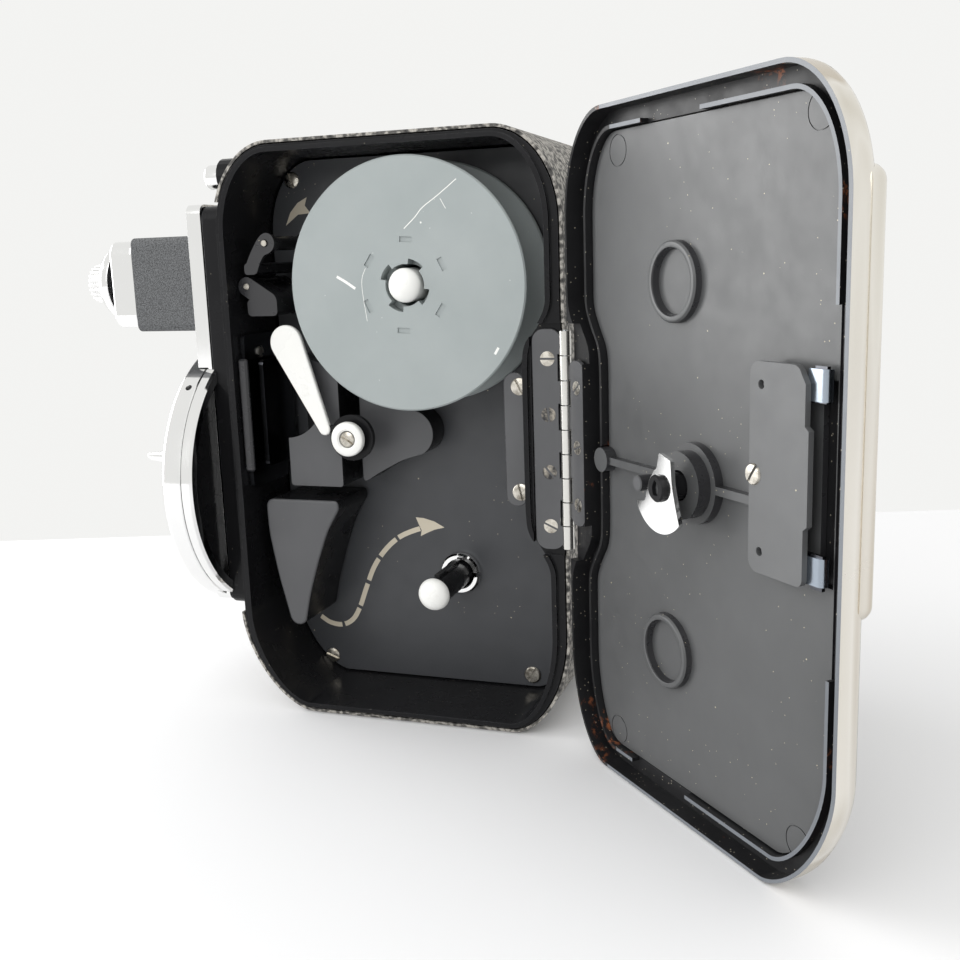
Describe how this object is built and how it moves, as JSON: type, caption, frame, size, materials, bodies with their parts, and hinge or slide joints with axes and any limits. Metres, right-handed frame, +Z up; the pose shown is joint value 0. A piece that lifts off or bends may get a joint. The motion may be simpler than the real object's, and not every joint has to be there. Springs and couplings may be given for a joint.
{
  "type": "cine camera",
  "caption": "Clockwork roll-film cine camera standing open: case with film chamber, hinged door, lens turret, viewfinder, winding crank.",
  "frame": {"origin": "on the flat of the base plate, which the camera stands on, under the middle of the closed body", "axes": "+X to the rear (hinge side), lenses look along -X, film door side is -Y, +Z up"},
  "size_m": [0.175, 0.1159, 0.1242],
  "materials": {
    "black_enamel": "satin black stove enamel on die-cast metal",
    "dark_grey_enamel": "smooth dark grey satin enamel",
    "leathercloth": "coarse grained grey-black leathercloth",
    "chrome": "polished",
    "nickel": "dull nickel plate",
    "steel": "bright steel",
    "brass": "machined",
    "white_enamel": "off-white gloss enamel",
    "grey_plastic": "moulded mid grey plastic",
    "glass": "clear coated glass"
  },
  "bodies": {
    "case": {"case_shell": "black_enamel", "case_covering": "leathercloth", "base_plate": "chrome", "tripod_bush": "brass", "floor_plate": "dark_grey_enamel", "mechanism_plate": "brass", "gate_plate": "nickel", "film_edge_guide": "dark_grey_enamel", "gate_block": "dark_grey_enamel", "lever_shoulder_screw": "white_enamel", "loop_cover": "dark_grey_enamel", "spool_guard": "dark_grey_enamel", "guide_arm": "dark_grey_enamel", "upper_guide_block": "dark_grey_enamel", "case_hinge_leaf": "black_enamel", "hinge_pin": "steel", "hinge_backing_plate": "dark_grey_enamel", "takeup_collar": "chrome", "front_housing": "black_enamel", "front_plate": "chrome", "release_collar": "black_enamel", "turret_base_plate": "chrome", "turret_hub": "chrome", "finder_housing": "leathercloth", "finder_bezel": "chrome", "finder_front_lens": "glass", "finder_eyepiece": "black_enamel", "eyepiece_lens": "glass", "crank_bearing": "chrome"},
    "door": {"door_shell": "black_enamel", "door_panel": "dark_grey_enamel", "door_covering": "leathercloth", "door_side_plate": "chrome", "pressure_bracket": "dark_grey_enamel", "bracket_spring": "steel", "door_hinge_leaf": "black_enamel"},
    "door_lock": {"lock_key": "chrome", "lock_cam": "chrome"},
    "supply": {"supply_spool": "grey_plastic", "supply_spindle": "white_enamel"},
    "takeup": {"takeup_spindle": "black_enamel", "takeup_gear": "brass"},
    "gate_lever": {"gate_lever": "white_enamel"},
    "pressure_plate": {"pressure_plate": "steel"},
    "upper_roller": {"upper_roller": "black_enamel"},
    "lower_roller": {"lower_roller": "black_enamel"},
    "turret": {"turret_disc": "chrome", "turret_handle": "chrome"},
    "focal_knob": {"finder_focal_knob": "chrome"},
    "release": {"release_button": "chrome"},
    "barrel": {"spring_barrel": "brass", "mainspring": "steel"},
    "crown": {"crown_wheel": "brass"},
    "shutter": {"shutter_disc": "black_enamel"},
    "governor": {"governor_rotor": "brass"},
    "claw": {"film_claw": "steel"},
    "crank": {"crank_arm": "chrome"},
    "crank_handle": {"crank_handle": "black_enamel"},
    "speed": {"speed_dial": "chrome"},
    "counter": {"counter_dial": "white_enamel"}
  },
  "joints": [
    {"name": "door_hinge", "type": "hinge", "parent": "case", "child": "door", "pos_m": [0.03833, -0.02163, 0.062], "axis": [0, 0, 1], "range_deg": [-133.8, 30]},
    {"name": "door_lock_turn", "type": "hinge", "parent": "door", "child": "door_lock", "pos_m": [0.06413, -0.05089, 0.0607], "axis": [-0.7218, -0.6921, 0], "range_deg": [0, 90]},
    {"name": "supply_turn", "type": "hinge", "parent": "case", "child": "supply", "pos_m": [0.00535, -0.012, 0.0938], "axis": [0, 1, 0], "continuous": true},
    {"name": "gate_lever_swing", "type": "hinge", "parent": "case", "child": "gate_lever", "pos_m": [-0.0104, -0.0173, 0.0618], "axis": [0, -1, 0], "range_deg": [0, 15]},
    {"name": "pressure_plate_slide", "type": "slide", "parent": "case", "child": "pressure_plate", "axis": [-1, 0, 0], "range_m": [0, 0.0013]},
    {"name": "upper_roller_turn", "type": "hinge", "parent": "case", "child": "upper_roller", "pos_m": [-0.0268, -0.01, 0.1032], "axis": [0, 1, 0], "continuous": true},
    {"name": "lower_roller_turn", "type": "hinge", "parent": "case", "child": "lower_roller", "pos_m": [-0.0327, -0.01, 0.0943], "axis": [0, 1, 0], "continuous": true},
    {"name": "turret_turn", "type": "hinge", "parent": "case", "child": "turret", "pos_m": [-0.047, -0.0005, 0.051], "axis": [1, 0, 0], "continuous": true},
    {"name": "focal_knob_turn", "type": "hinge", "parent": "case", "child": "focal_knob", "pos_m": [-0.068, -0.0067, 0.0956], "axis": [1, 0, 0], "range_deg": [-135, 135]},
    {"name": "release_press", "type": "slide", "parent": "case", "child": "release", "axis": [1, 0, 0], "range_m": [0, 0.0024], "stiffness_N_per_m": 300},
    {"name": "barrel_turn", "type": "hinge", "parent": "case", "child": "barrel", "pos_m": [0.01014, 0.01, 0.06162], "axis": [0, 1, 0], "continuous": true},
    {"name": "takeup_turn", "type": "hinge", "parent": "case", "child": "takeup", "pos_m": [0.00784, 0, 0.0287], "axis": [0, 1, 0], "continuous": true},
    {"name": "crown_turn", "type": "hinge", "parent": "case", "child": "crown", "pos_m": [-0.01686, 0.008, 0.06162], "axis": [0, 1, 0], "continuous": true},
    {"name": "shutter_turn", "type": "hinge", "parent": "case", "child": "shutter", "pos_m": [-0.038, 0.0035, 0.06162], "axis": [1, 0, 0], "continuous": true},
    {"name": "governor_turn", "type": "hinge", "parent": "case", "child": "governor", "pos_m": [-0.022, 0.008, 0.034], "axis": [0, 1, 0], "continuous": true},
    {"name": "claw_pull", "type": "slide", "parent": "case", "child": "claw", "axis": [0, 0, -1], "range_m": [0, 0.00381]},
    {"name": "crank_turn", "type": "hinge", "parent": "case", "child": "crank", "pos_m": [0.01014, 0.03, 0.06162], "axis": [0, 1, 0], "continuous": true},
    {"name": "crank_fold", "type": "hinge", "parent": "crank", "child": "crank_handle", "pos_m": [0.01014, 0.035, 0.08562], "axis": [1, 0, 0], "range_deg": [0, 90]},
    {"name": "speed_dial_turn", "type": "hinge", "parent": "case", "child": "speed", "pos_m": [-0.02, 0.027, 0.034], "axis": [0, 1, 0], "range_deg": [-120, 120]},
    {"name": "counter_turn", "type": "hinge", "parent": "case", "child": "counter", "pos_m": [-0.017, 0.025, 0.096], "axis": [0, 1, 0], "continuous": true}
  ],
  "couplings": [
    {"joint": "takeup_turn", "follows": "barrel_turn", "ratio": -1.75},
    {"joint": "crown_turn", "follows": "barrel_turn", "ratio": -3.5},
    {"joint": "shutter_turn", "follows": "barrel_turn", "ratio": -7.6},
    {"joint": "governor_turn", "follows": "barrel_turn", "ratio": 14},
    {"joint": "counter_turn", "follows": "barrel_turn", "ratio": 0.05},
    {"joint": "pressure_plate_slide", "follows": "gate_lever_swing", "m_per_rad": 0.0049}
  ]
}
